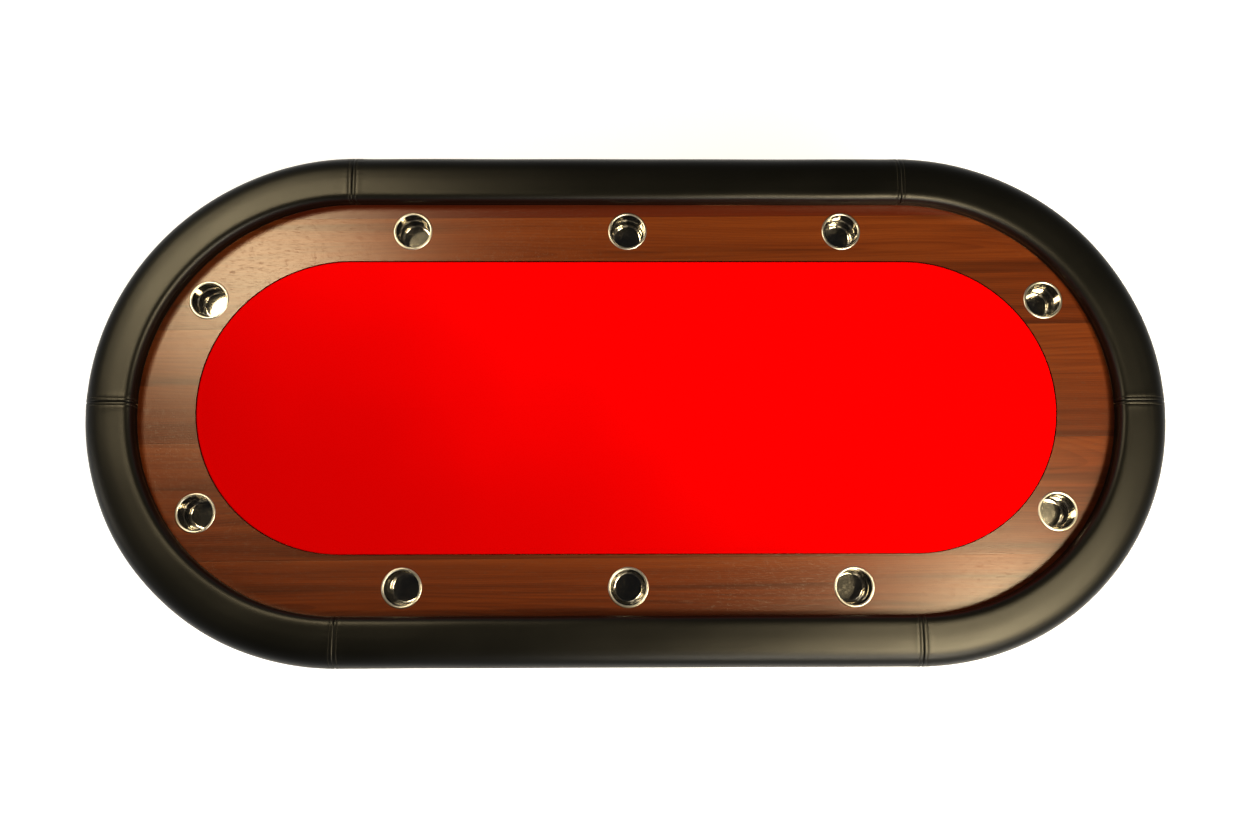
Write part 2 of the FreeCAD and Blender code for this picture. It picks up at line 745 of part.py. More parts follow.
def build_leg_frames():
    for side, place, turned_place in ((-1, "front", "back"), (1, "back", "front")):
        export_pair(f"leg_{{end}}_{place}", [leg_tube(side)], f"leg_{{end}}_{turned_place}")
        export_pair(f"leg_bracket_{{end}}_{place}", [bracket(side)], f"leg_bracket_{{end}}_{turned_place}")
        export_pair(f"clamp_knob_{{end}}_{place}", [knob(side)], f"clamp_knob_{{end}}_{turned_place}")
    export_pair("upper_crossbar_{end}", [crossbar(upper_crossbar_drop)])
    export_pair("lower_crossbar_{end}", [crossbar(lower_crossbar_drop)])
    export_pair("foot_caps_{end}", both_legs(foot_cap))
    export_pair("leg_plugs_{end}", both_legs(leg_plug))
    export_pair("bracket_screws_{end}", [bracket_screw(x, y) for x, y in bracket_screw_places()])
    export_pair("pivot_bolts_{end}", both_legs(pivot_bolt))
    export_pair("pivot_nuts_{end}", both_legs(pivot_nut))
    near = (cheek_far, -cheek_far - pivot_washer_thickness)
    export_pair("pivot_washers_{end}", [pivot_washer(side, low) for side in (-1, 1) for low in near])
    export_pair("clamp_studs_{end}", both_legs(clamp_stud))
    export_pair("clamp_washers_{end}", both_legs(clamp_washer))


os.makedirs("parts", exist_ok=True)
panel_screw_holes = build_boards()
build_playing_panel(panel_screw_holes)
build_rail()
build_rail_fixings()
build_cup_holders()
build_leg_frames()

print(f"leg pivots at x {hinge_x:.4f}, z {hinge_z:.4f}, y {leg_y:.4f}, leg {leg_length:.4f} long")
print("clamp studs at", leaned_point(0, -clamp_radius) + V(-hinge_x, leg_y, hinge_z))
for number, place in enumerate(cup_places(), 1):
    print("cup", number, place)
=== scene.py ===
import bpy
import math
import random

from mathutils import Matrix, Vector


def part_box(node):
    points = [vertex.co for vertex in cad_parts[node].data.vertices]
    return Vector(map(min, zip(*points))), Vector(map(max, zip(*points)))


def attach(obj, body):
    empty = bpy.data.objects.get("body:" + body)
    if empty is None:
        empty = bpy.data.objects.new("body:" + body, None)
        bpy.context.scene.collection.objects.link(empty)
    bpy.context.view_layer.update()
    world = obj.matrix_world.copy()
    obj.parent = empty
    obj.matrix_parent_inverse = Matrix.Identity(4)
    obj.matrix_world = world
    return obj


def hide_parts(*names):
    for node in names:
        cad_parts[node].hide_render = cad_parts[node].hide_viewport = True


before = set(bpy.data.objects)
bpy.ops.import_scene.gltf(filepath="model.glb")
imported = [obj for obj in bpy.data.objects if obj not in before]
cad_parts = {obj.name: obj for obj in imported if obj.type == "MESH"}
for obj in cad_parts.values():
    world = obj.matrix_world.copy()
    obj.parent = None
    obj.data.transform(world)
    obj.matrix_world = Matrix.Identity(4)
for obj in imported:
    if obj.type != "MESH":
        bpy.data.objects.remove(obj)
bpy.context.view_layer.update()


# ---- base board ------------------------------------------------------------------------------
# One oval of 18 mm birch plywood that everything else is screwed or bolted to. Its underside is
# bare, sealed birch face veneer, and its edge is stained black so that it doesn't show.

class Wire:
    """A value in a material's nodes. Sums on it add Math nodes, and node() adds any other kind."""

    def __init__(self, tree, end=None):
        self.tree = tree
        self.end = end

    def node(self, kind, settings=None, sockets=None, out=0):
        made = self.tree.nodes.new(kind)
        for name, value in (settings or {}).items():
            if name == "stops":
                stops = made.color_ramp.elements
                while len(stops) < len(value):
                    stops.new(0.5)
                for stop, (place, shade) in zip(stops, value):
                    stop.position = place
                    stop.color = shade
            else:
                setattr(made, name, value)
        for name, value in (sockets or {}).items():
            if isinstance(value, Wire):
                self.tree.links.new(value.end, made.inputs[name])
            else:
                made.inputs[name].default_value = value
        return Wire(self.tree, made.outputs[out])

    def sum(self, operation, *values):
        return self.node("ShaderNodeMath", {"operation": operation}, dict(enumerate(values)))

    def __add__(self, other): return self.sum("ADD", self, other)
    def __radd__(self, other): return self.sum("ADD", other, self)
    def __sub__(self, other): return self.sum("SUBTRACT", self, other)
    def __rsub__(self, other): return self.sum("SUBTRACT", other, self)
    def __mul__(self, other): return self.sum("MULTIPLY", self, other)
    def __rmul__(self, other): return self.sum("MULTIPLY", other, self)
    def __truediv__(self, other): return self.sum("DIVIDE", self, other)
    def __pow__(self, other): return self.sum("POWER", self, other)
    def __abs__(self): return self.sum("ABSOLUTE", self)

    def part(self, axis):
        """One component of a vector: X, Y or Z."""
        return self.node("ShaderNodeSeparateXYZ", {}, {0: self}, axis)

    def step(self, low, high, floor=0.0, top=1.0):
        """A soft step: floor up to low, top from high."""
        return self.node("ShaderNodeMapRange", {"interpolation_type": "SMOOTHSTEP"},
                         {0: self, 1: low, 2: high, 3: floor, 4: top})

    def stretched(self, x, y, z, shift=(0, 0, 0)):
        """A position scaled along each axis, so that a pattern on it is drawn out."""
        return self.node("ShaderNodeMapping", {"vector_type": "POINT"},
                         {"Vector": self, "Scale": (x, y, z), "Location": shift})

    def noise(self, scale, detail=3.0, rough=0.5, twist=0.0):
        return self.node("ShaderNodeTexNoise", {},
                         {"Vector": self, "Scale": scale, "Detail": detail, "Roughness": rough,
                          "Distortion": twist})

    def tint(self, a, b):
        """Colour a where this is 0 and b where it is 1."""
        return self.node("ShaderNodeMix", {"data_type": "RGBA"}, {0: self, 6: a, 7: b}, 2)


def color(r, g, b):
    return (r, g, b, 1.0)


def finish(name, build, **plain):
    """A material. build gets the object's own coordinates and returns what varies over the surface."""
    made = bpy.data.materials.new(name)
    made.use_nodes = True
    tree = made.node_tree
    shader = tree.nodes["Principled BSDF"]
    for socket, value in plain.items():
        shader.inputs[socket.replace("_", " ")].default_value = value
    coords = Wire(tree).node("ShaderNodeTexCoord", {}, {}, "Object")
    for socket, value in build(coords).items():
        if isinstance(value, Wire):
            tree.links.new(value.end, shader.inputs[socket])
        else:
            shader.inputs[socket].default_value = value
    return made


def bump(height, depth, strength=1.0, under=None):
    """A surface relief, depth metres high. under is a broader relief that this one lies on."""
    sockets = {"Height": height, "Distance": depth, "Strength": strength}
    if under:
        sockets["Normal"] = under
    return height.node("ShaderNodeBump", {}, sockets)


def own_normal(coords):
    return coords.node("ShaderNodeTexCoord", {}, {}, "Normal")


FLAT_FACE = (0.6, 0.8)      # the normal's Z on an edge and on a flat face


def every_other(layer):
    """0 in even plies and 1 in odd ones, from a count of plies."""
    return layer.sum("PINGPONG", layer, 1.0).step(0.42, 0.58)


# Pairs of a light and a dark shade.
BIRCH_FACE = (color(0.60, 0.44, 0.27), color(0.43, 0.28, 0.15))
BIRCH_EDGE = (color(0.55, 0.40, 0.24), color(0.30, 0.19, 0.10))
STAINED_EDGE = (color(0.030, 0.026, 0.022), color(0.014, 0.012, 0.010))
GROWTH_RINGS = 60           # radians of ring pattern over the whole range of the noise under it


def plywood(name, edge_light, edge_dark, ply, low):
    """Birch face veneer with plies showing on the edges: ply is one ply's thickness, low the
    height that the plies are counted from."""
    face_light, face_dark = BIRCH_FACE

    def build(coords):
        cathedral = coords.stretched(0.55, 4.2, 1).noise(1.6, 2.0, 0.45, 0.6) * GROWTH_RINGS
        rings = cathedral.sum("SINE", cathedral) * 0.5 + 0.5
        fibre = coords.stretched(14, 420, 420).noise(1.0, 3.0, 0.6)
        flecks = coords.stretched(40, 900, 900).noise(1.0, 1.0, 0.5).step(0.60, 0.72)
        face = (rings * 0.45 + fibre * 0.55).tint(face_light, face_dark)
        face = (flecks * 0.35).tint(face, face_dark)
        layer = (coords.part("Z") - low) / ply
        edge_fibre = coords.stretched(90, 90, 700).noise(1.0, 3.0, 0.7)
        edge = (every_other(layer) * 0.75 + edge_fibre * 0.25).tint(edge_light, edge_dark)
        flat = abs(own_normal(coords).part("Z")).step(*FLAT_FACE)
        relief = fibre * 0.6 + rings * 0.4
        return {"Base Color": flat.tint(edge, face), "Roughness": 0.48 + fibre * 0.22,
                "Normal": bump(relief, 0.00012, 0.6)}
    return finish(name, build, Specular_IOR_Level=0.4)


def wear(node, material):
    """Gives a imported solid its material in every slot."""
    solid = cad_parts[node]
    for place in solid.material_slots:
        place.material = material
    if not solid.material_slots:
        solid.data.materials.append(material)


base_low, base_high = (Vector(corner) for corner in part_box("base_board"))
board_thickness = base_high.z - base_low.z
PLIES = 9
wear("base_board", plywood("birch_base", *STAINED_EDGE, board_thickness / PLIES, base_low.z))


# ---- playing panel ---------------------------------------------------------------------------
# A 12 mm plywood board with a thin foam layer. Smooth red playing cloth is stretched over both,
# wrapped round the edge and stapled underneath, and the panel is screwed up from below.

def mesh_piece(name, verts, faces, material, body="table_top"):
    """A new smooth-shaded piece from its points and faces, riding on a body."""
    data = bpy.data.meshes.new(name)
    data.from_pydata([tuple(v) for v in verts], [], faces)
    data.validate()
    data.materials.append(material)
    data.shade_smooth()
    made = bpy.data.objects.new(name, data)
    bpy.context.scene.collection.objects.link(made)
    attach(made, body)
    return made


def around(half_straight, radius, straight_steps, end_steps):
    """Points round an oval, anticlockwise from the front right: (centre x, normal x, normal y)."""
    points = []
    for i in range(end_steps):
        angle = math.pi * i / end_steps - math.pi / 2
        points.append((half_straight, math.cos(angle), math.sin(angle)))
    for i in range(straight_steps):
        points.append((half_straight - 2 * half_straight * i / straight_steps, 0.0, 1.0))
    return points + [(-x, -nx, -ny) for x, nx, ny in points]


def rings_to_faces(count, size):
    """Quads between count closed rings of size points each."""
    faces = []
    for ring in range(count - 1):
        a, b = ring * size, (ring + 1) * size
        for i in range(size):
            j = (i + 1) % size
            faces.append((a + i, a + j, b + j, b + i))
    return faces


cloth_low, cloth_high = (Vector(corner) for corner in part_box("playing_cloth"))
panel_radius = cloth_high.y
panel_straight = cloth_high.x - cloth_high.y
CLOTH_HEM = 0.030           # turned in under the board
CLOTH_ROLL = 0.004          # radius of the rolled edge
CLOTH_REACH = panel_radius * 0.97   # how far in the rings go; quads across the middle close the rest
CLOTH_STEP = 0.003          # between the first two rings, and then more, up to the longest
CLOTH_STEP_GROWTH = 1.22
CLOTH_LONGEST_STEP = 0.014
CLOTH_WAVE = 0.00022        # height of the slow waves in the foam under the cloth
CLOTH_DRAW = 0.0005         # how far the pull at the edge draws the cloth down
CLOTH_DRAW_FADE = 0.02
WAVE_STARTS = 6.28          # a wave starts anywhere in a full turn


def cloth_profile():
    """(distance in from the panel's edge, height) from the hem's end, round the edge, to the middle."""
    low, top = cloth_low.z, cloth_high.z
    points = [(CLOTH_HEM * k / 5, low) for k in (5, 4, 3, 2, 1)]
    points += [(0.0012, low), (0.0003, low + 0.0004)]
    points += [(0.0, low + 0.0012), (0.0, low + 0.006), (0.0, top - CLOTH_ROLL)]
    for k in range(1, 9):
        turn = math.pi / 2 * k / 8
        in_from_edge = CLOTH_ROLL * (1 - math.cos(turn))
        points.append((in_from_edge, top - CLOTH_ROLL + CLOTH_ROLL * math.sin(turn)))
    inset = CLOTH_ROLL
    step = CLOTH_STEP
    while inset + step < CLOTH_REACH:
        inset += step
        points.append((inset, top))
        step = min(step * CLOTH_STEP_GROWTH, CLOTH_LONGEST_STEP)
    points.append((CLOTH_REACH, top))
    return points


def build_cloth(material):
    walk = around(panel_straight, panel_radius, 90, 96)
    draw = random.Random(4)
    waves = [(draw.uniform(2, 9), draw.uniform(2, 9), draw.uniform(0, WAVE_STARTS)) for _ in range(6)]
    verts = []
    profile = cloth_profile()
    for inset, height in profile:
        for x, nx, ny in walk:
            reach = panel_radius - inset
            px, py = x + nx * reach, ny * reach
            lift = 0.0
            if height >= cloth_high.z - 1e-6 and inset > 2 * CLOTH_ROLL:
                lift = sum(math.sin(px * a + py * b + c) for a, b, c in waves) / 6 * CLOTH_WAVE
                lift -= CLOTH_DRAW * math.exp(-(inset - 2 * CLOTH_ROLL) / CLOTH_DRAW_FADE)
            verts.append((px, py, height + lift))
    faces = rings_to_faces(len(profile), len(walk))
    last = [(len(profile) - 1) * len(walk) + i for i in range(len(walk))]
    faces += [(last[i], last[i + 1], last[-i - 2], last[-i - 1]) for i in range(len(last) // 2 - 1)]
    return mesh_piece("red_playing_cloth", verts, faces, material)


WEAVE = 1900                # radians of weave in a metre
PAINTED_SHADE_RAMP = (-0.30, 0.36)     # painted shade on the cloth: full at the front left, below the first value, and none at the back right, above the second


def red_cloth(coords):
    threads = coords.stretched(WEAVE, WEAVE, WEAVE)
    warp, weft = threads.part("X"), threads.part("Y")
    weave = warp.sum("SINE", warp) * weft.sum("SINE", weft) * 0.5 + 0.5
    nap = coords.noise(700, 3.0, 0.7)
    broad = coords.noise(2.2, 2.0, 0.5)
    # A broad painted shade: the cloth's colour is made darker towards the front left, where less light
    # falls on it.
    painted_shade = (coords.part("X") * 0.30 + coords.part("Y") * 0.75 + broad * 0.20).step(*PAINTED_SHADE_RAMP)
    shade = (weave * 0.12 + nap * 0.18 + broad * 0.15 + painted_shade * 0.55).step(0.1, 0.9)
    return {"Base Color": shade.tint(color(0.44, 0.0, 0.0), color(0.72, 0.0005, 0.0005)),
            "Roughness": 0.82 + nap * 0.15,
            "Normal": bump(weave * 0.6 + nap * 0.4, 0.00015, 0.5)}


red = finish("red_speed_cloth", red_cloth, Specular_IOR_Level=0.0)
playing_cloth = build_cloth(red)
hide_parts("playing_cloth")

wear("playing_board", plywood("birch_panel", *BIRCH_EDGE, 0.0015, cloth_low.z))


def cut_foam(coords):
    cells = coords.node("ShaderNodeTexVoronoi", {"feature": "F1"}, {"Vector": coords, "Scale": 900.0})
    tone = coords.noise(60, 2.0, 0.5)
    return {"Base Color": tone.tint(color(0.74, 0.70, 0.52), color(0.82, 0.78, 0.62)),
            "Normal": bump(cells, 0.0006, 0.8)}


upholstery_foam = finish("upholstery_foam", cut_foam, Roughness=0.95, Specular_IOR_Level=0.1)
wear("playing_foam", upholstery_foam)


# ---- racetrack -------------------------------------------------------------------------------
# An 18 mm ring with a walnut face. The veneer is laid in long leaves with the grain along the
# table, butted edge to edge, and finished with a satin lacquer. The edges are stained dark.

race_low, race_high = (Vector(corner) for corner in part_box("racetrack"))
LEAF_WIDTH = 0.265
LEAF_EDGE = -0.082          # one leaf joint's distance from the table's centre line
LEAF_SKEW = 0.0070          # the joints run this much out of line with the table
LEAF_GAP = 0.0006
RING_COUNT = 190            # growth rings in a metre of the log
RING_DEPTH = 0.018          # how far under the heart the leaves are sliced
STRAY = 3.7                 # each leaf's pattern starts this much further along


def walnut(coords):
    along = coords.part("X")
    across = coords.part("Y") - along * LEAF_SKEW
    leaf_place = (across - LEAF_EDGE) / LEAF_WIDTH
    leaf = leaf_place.sum("FLOOR", leaf_place)
    within = (leaf_place - leaf - 0.5) * LEAF_WIDTH
    joint = (abs(within) - LEAF_WIDTH / 2 + LEAF_GAP).step(-0.0006, 0.0004)
    own = leaf.node("ShaderNodeTexWhiteNoise", {"noise_dimensions": "1D"}, {"W": leaf + 0.5}, "Color")
    one, two, three = own.part("X"), own.part("Y"), own.part("Z")

    # The log's growth rings, cut through at a slight slope so that they rise into cathedrals.
    spot = along.node("ShaderNodeCombineXYZ", {},
                      {"X": along + leaf * STRAY, "Y": within, "Z": leaf * 1.9})
    drift = spot.stretched(0.5, 2.2, 1).noise(1.0, 2.0, 0.45, 0.0)
    wander = spot.stretched(1.3, 12, 1).noise(1.0, 2.0, 0.5, 0.1)
    heart = (one - 0.5) * 0.16 + (drift - 0.5) * 0.30
    side = within - heart
    depth = RING_DEPTH + abs(along * (two - 0.5) * 0.05 + (drift - 0.5) * 0.10)
    radius = (side * side + depth * depth) ** 0.5 + (wander - 0.5) * 0.012
    ring = radius * RING_COUNT + three * 7
    band = ring - ring.sum("FLOOR", ring)
    late = band.step(0.25, 0.93) - band.step(0.93, 1.0)
    streak = spot.stretched(0.9, 58, 1).noise(1.0, 4.0, 0.66, 0.05)
    mineral = spot.stretched(0.75, 21, 1).noise(1.0, 3.0, 0.6, 0.35).step(0.50, 0.72)
    fibre = spot.stretched(11, 620, 1).noise(1.0, 3.0, 0.6)
    pores = spot.stretched(48, 1500, 1).noise(1.0, 2.0, 0.5).step(0.60, 0.70)

    tone = late * 0.07 + streak * 0.60 + fibre * 0.18
    tone = tone + (two - 0.5) * 0.16 - within * 0.85 + 0.02
    brown = tone.node("ShaderNodeValToRGB", {"stops": [
        (0.12, color(0.185, 0.050, 0.0115)), (0.36, color(0.126, 0.030, 0.0066)),
        (0.56, color(0.074, 0.016, 0.0038)), (0.76, color(0.030, 0.008, 0.0024))]}, {"Fac": tone})
    brown = (mineral * 0.62).tint(brown, color(0.036, 0.009, 0.0030))
    red_leaf = leaf.step(1.2, 1.9)
    brown = (red_leaf * 0.55).tint(brown, color(0.110, 0.018, 0.007))
    brown = (pores * 0.35).tint(brown, color(0.030, 0.009, 0.003))
    brown = (joint * 0.35).tint(brown, color(0.014, 0.006, 0.003))

    plies = (coords.part("Z") - race_low.z) / (board_thickness / PLIES)
    dark_edge = every_other(plies).tint(color(0.022, 0.014, 0.010), color(0.012, 0.008, 0.006))
    top = own_normal(coords).part("Z").step(*FLAT_FACE)
    relief = bump(1 - pores * 0.8 - joint, 0.00010, 0.5)
    relief = bump(fibre, 0.00005, 0.35, relief)
    return {"Base Color": top.tint(dark_edge, brown),
            "Roughness": 0.27 + fibre * 0.07 + pores * 0.10, "Normal": relief}


wear("racetrack", finish("lacquered_walnut", walnut, Specular_IOR_Level=0.55))


# ---- cup holders -----------------------------------------------------------------------------
# Ten drop-in cups, deep-drawn from stainless sheet with a step half way down and a rolled lip.
# They are loose: each hangs in its hole by the lip and lifts straight out.

LIP_ROOT = (race_high.z - 0.0004, race_high.z + 0.0006)     # heights that the lip starts between


def stainless_cup(middle_x, middle_y):
    def build(coords):
        from_axis_x = coords.part("X") - middle_x
        from_axis_y = coords.part("Y") - middle_y
        reach = (from_axis_x * from_axis_x + from_axis_y * from_axis_y) ** 0.5
        turned = reach.node("ShaderNodeCombineXYZ", {}, {"X": reach, "Y": coords.part("Z")})
        lines = turned.stretched(1500, 900, 1).noise(1.0, 2.0, 0.6)
        cloudy = coords.noise(45, 3.0, 0.55)
        handled = coords.noise(190, 2.0, 0.6).step(0.52, 0.70)
        lip = coords.part("Z").step(*LIP_ROOT)
        return {"Base Color": cloudy.tint(color(0.70, 0.68, 0.64), color(0.58, 0.56, 0.52)),
                "Roughness": 0.10 + lines * 0.06 + handled * 0.04 + lip * 0.22,
                "Normal": bump(coords.noise(70, 1.0, 0.4), 0.00010, 0.5)}
    return finish("polished_stainless", build, Metallic=1.0)


for name in sorted(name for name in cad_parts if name.startswith("cup_holder")):
    low, high = (Vector(corner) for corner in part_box(name))
    wear(name, stainless_cup((low.x + high.x) / 2, (low.y + high.y) / 2))


# ---- rail ------------------------------------------------------------------------------------
# A plywood ring with 25 mm foam, covered in black grained vinyl: two straight panels and four
# quarter-round ones. Each seam between two is pressed flat and top-stitched along both sides.

cover_low, cover_high = (Vector(corner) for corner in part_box("rail_cover_back"))
rail_straight = cover_high.x
rail_outer = cover_high.y
rail_inner = cover_low.y
rail_low = cover_low.z
rail_top = cover_high.z
rail_middle = (rail_inner + rail_outer) / 2
COVER_HEM = 0.030
SEAM_ROW = 0.0085           # a stitch row's distance from its seam
STITCH_PITCH = 0.0052

# The rail's section from the inner hem, over the padding, to the outer hem, as (distance out from
# the rail's inner face, height above its underside).
width = rail_outer - rail_inner
height = rail_top - rail_low
SECTION = [
    (COVER_HEM, 0.0003), (0.018, 0.0002), (0.0070, 0.0002), (0.0022, 0.0006), (0.0004, 0.0028),
    (0.0, 0.0075), (-0.0002, 0.0140), (-0.0016, 0.0200), (-0.0024, 0.0265), (-0.0014, 0.0335),
    (0.0020, 0.0395), (0.0078, 0.0437), (0.0155, height - 0.0013), (0.0290, height - 0.0004),
    (width * 0.44, height + 0.0002), (width * 0.60, height - 0.0004),
    (width - 0.0330, height - 0.0016), (width - 0.0235, height - 0.0042),
    (width - 0.0140, height - 0.0092), (width - 0.0062, height - 0.0165),
    (width - 0.0008, height - 0.0255), (width + 0.0012, 0.0150), (width + 0.0006, 0.0085),
    (width - 0.0002, 0.0040), (width - 0.0014, 0.0012), (width - 0.0050, 0.0002),
    (width - 0.0160, 0.0002), (width - COVER_HEM, 0.0003),
]


def between(a, b, c, d, t):
    """A smooth curve's value from b, at t = 0, to c, at t = 1. a and d are the values beyond them."""
    bend = (2 * a - 5 * b + 4 * c - d) * t * t
    return 0.5 * (2 * b + (c - a) * t + bend + (3 * b - a - 3 * c + d) * t ** 3)


def smooth_section(spacing):
    """An even run of points on a curve through SECTION: (distance along it, out, up)."""
    fine = []
    for i in range(len(SECTION) - 1):
        before, start = SECTION[max(i - 1, 0)], SECTION[i]
        stop, after = SECTION[i + 1], SECTION[min(i + 2, len(SECTION) - 1)]
        for k in range(12):
            fine.append(tuple(between(a, b, c, d, k / 12)
                              for a, b, c, d in zip(before, start, stop, after)))
    fine.append(SECTION[-1])
    girth = [0.0]
    for a, b in zip(fine, fine[1:]):
        girth.append(girth[-1] + math.dist(a, b))
    count = round(girth[-1] / spacing)
    points, i = [], 0
    for k in range(count + 1):
        want = girth[-1] * k / count
        while i < len(girth) - 2 and girth[i + 1] < want:
            i += 1
        share = (want - girth[i]) / (girth[i + 1] - girth[i])
        points.append((want, *(a + (b - a) * share for a, b in zip(fine[i], fine[i + 1]))))
    return points


SECTION_SPACING = 0.0030
section = smooth_section(SECTION_SPACING)
section_girth = section[-1][0]


def section_normals():
    normals = []
    for i in range(len(section)):
        _, r0, z0 = section[max(i - 1, 0)]
        _, r1, z1 = section[min(i + 1, len(section) - 1)]
        long = math.hypot(r1 - r0, z1 - z0)
        normals.append((-(z1 - z0) / long, (r1 - r0) / long))
    return normals


normals = section_normals()


def round_quarter(end, start):
    """A quarter of a round end: place along it to (centre x, normal x, normal y)."""
    def at(place):
        angle = math.radians(start) + place / rail_middle
        return end * rail_straight, math.cos(angle), math.sin(angle)
    return at, math.radians(90) * rail_middle


def straight_run(side):
    def at(place):
        return side * (rail_straight - place), 0.0, side
    return at, 2 * rail_straight


# Each panel's line and its length, anticlockwise from the right-hand tip.
PANELS = {
    "right_back": round_quarter(1, 0), "back": straight_run(1.0),
    "left_back": round_quarter(-1, 90), "left_front": round_quarter(-1, 180),
    "front": straight_run(-1.0), "right_front": round_quarter(1, 270),
}


SEAM_SIDE = 0.05            # how far from a seam its close stations go
STATION_SPACING = 0.010     # between a panel's other stations


def stations(length):
    """Places along a panel, close together at its two seams."""
    near = [0.0, 0.0005, 0.0010, 0.0017, 0.0025, 0.0036, 0.0050, 0.0062, 0.0071, 0.0078, 0.0085,
            0.0092, 0.0099, 0.0110, 0.0125, 0.0145, 0.0170, 0.0205, 0.0255, 0.0320, 0.0400, 0.0490]
    count = round((length - 2 * SEAM_SIDE) / STATION_SPACING)
    middle = [SEAM_SIDE + (length - 2 * SEAM_SIDE) * i / count for i in range(count + 1)]
    return near + middle + [length - d for d in reversed(near)]


def hump(distance, spread):
    """1 at no distance, falling off smoothly to 0 beyond about twice the spread."""
    return math.exp(-(distance / spread) ** 2)


# The cover's relief: heights over the plain section, and how far apart its waves are.
SEAM_GROOVE = 0.0011
ROW_GROOVE = 0.0003         # where a row of stitches pulls the vinyl down
ALLOWANCE_SWELL = 0.0004    # between the seam and the row, over the turned-in edge
ROW_SWELL = 0.0003          # beyond the row
PUCKER_HEIGHT = 0.00010
PUCKER_PITCH = 0.0125
EASE_HEIGHT = 0.00065       # the foam's slow unevenness, which the seams hold down
EASE_FADE = 0.030
GATHER_HEIGHT = 0.0010      # folds where the hem is drawn in under the round ends
GATHER_PITCH = 0.021
HEM_HIDDEN = 0.024          # no relief this near the section's two ends, and all of it after the fade
HEM_FADE = 0.008
FULL_TURN = 6.283


def cover_push(name, place, length, girth, pucker_start, waves):
    """How far the vinyl stands out of its plain section there, in metres."""
    seam = min(place, length - place)
    ends = min(girth, section_girth - girth)
    shown = min(1.0, max(0.0, (ends - HEM_HIDDEN) / HEM_FADE))
    push = -SEAM_GROOVE * hump(seam, 0.0010)
    push -= ROW_GROOVE * hump(seam - SEAM_ROW, 0.0011)
    push += (ALLOWANCE_SWELL * hump(seam - SEAM_ROW / 2, 0.0030)
             + ROW_SWELL * hump(seam - SEAM_ROW - 0.006, 0.005))
    pucker = math.sin(girth / PUCKER_PITCH * FULL_TURN + pucker_start * 6)
    push += PUCKER_HEIGHT * pucker * hump(seam - SEAM_ROW - 0.004, 0.010)
    push *= shown
    ease = sum(math.sin(place * a + girth * b + c) for a, b, c in waves) / len(waves)
    push += EASE_HEIGHT * ease * shown * (1 - hump(seam, EASE_FADE))
    if name not in ("back", "front"):
        gather = math.sin(place / GATHER_PITCH * FULL_TURN + 1.3 * math.sin(place * 31))
        push += GATHER_HEIGHT * max(0.0, gather) * (1 - min(1.0, max(0.0, ends - 0.010) / 0.018))
    return push


SEAM_TUCK = 0.005           # a panel's end turns in this far at its seam


def build_cover(name, material):
    at, length = PANELS[name]
    draw = random.Random(name)
    pucker_start = draw.random()
    waves = [(draw.uniform(6, 26), draw.uniform(10, 60), draw.uniform(0, WAVE_STARTS))
             for _ in range(5)]
    places = stations(length)
    verts = []
    for ring, place in enumerate([places[0]] + places + [places[-1]]):
        tuck = SEAM_TUCK if ring in (0, len(places) + 1) else 0.0
        x, nx, ny = at(place)
        for (girth, out, up), (n_out, n_up) in zip(section, normals):
            push = cover_push(name, place, length, girth, pucker_start, waves) - tuck
            reach = rail_inner + out + n_out * push
            verts.append((x + nx * reach, ny * reach, rail_low + max(up + n_up * push, 0.0001)))
    size = len(section)
    faces = []
    for ring in range(len(places) + 1):
        a, b = ring * size, (ring + 1) * size
        faces += [(a + i, b + i, b + i + 1, a + i + 1) for i in range(size - 1)]
    return mesh_piece(f"vinyl_cover_{name}", verts, faces, material)


def rail_vinyl(coords):
    pebbles = coords.node("ShaderNodeTexVoronoi", {"feature": "DISTANCE_TO_EDGE"},
                          {"Vector": coords, "Scale": 620.0, "Randomness": 1.0})
    grain = pebbles.step(0.0, 0.22)
    fine = coords.noise(1500, 2.0, 0.6)
    crease = coords.noise(38, 4.0, 0.65, 0.4)
    wiped = coords.noise(5.5, 3.0, 0.55)
    tone = wiped.tint(color(0.0012, 0.0013, 0.0009), color(0.0022, 0.0023, 0.0017))
    relief = bump(crease, 0.0006, 0.08)
    relief = bump(grain * 0.9 + fine * 0.1, 0.00008, 0.40, relief)
    return {"Base Color": tone, "Roughness": 0.38 + wiped * 0.08 - grain * 0.04, "Normal": relief}


vinyl = finish("black_grained_vinyl", rail_vinyl, Specular_IOR_Level=0.43)
for name in PANELS:
    cover = build_cover(name, vinyl)
    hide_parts(f"rail_cover_{name}", "rail_foam_strips")


def waxed_thread(coords):
    twist = coords.noise(1800, 1.0, 0.5)
    return {"Base Color": twist.tint(color(0.020, 0.019, 0.015), color(0.060, 0.056, 0.045))}


thread = finish("black_thread", waxed_thread, Roughness=0.5)
THREAD_RADIUS = 0.00042
THREAD_SIDES = 6
STITCH_LENGTH = 0.0040
STITCH_MARGIN = 0.030       # the rows stop this far from the section's two ends

# A stitch along its length: (share of the length, rise and girth in thread radii).
STITCH_SHAPE = ((0.0, -1.6, 0.6), (0.12, 0.0, 0.95), (0.5, 0.45, 1.0), (0.88, 0.0, 0.95),
                (1.0, -1.6, 0.6))


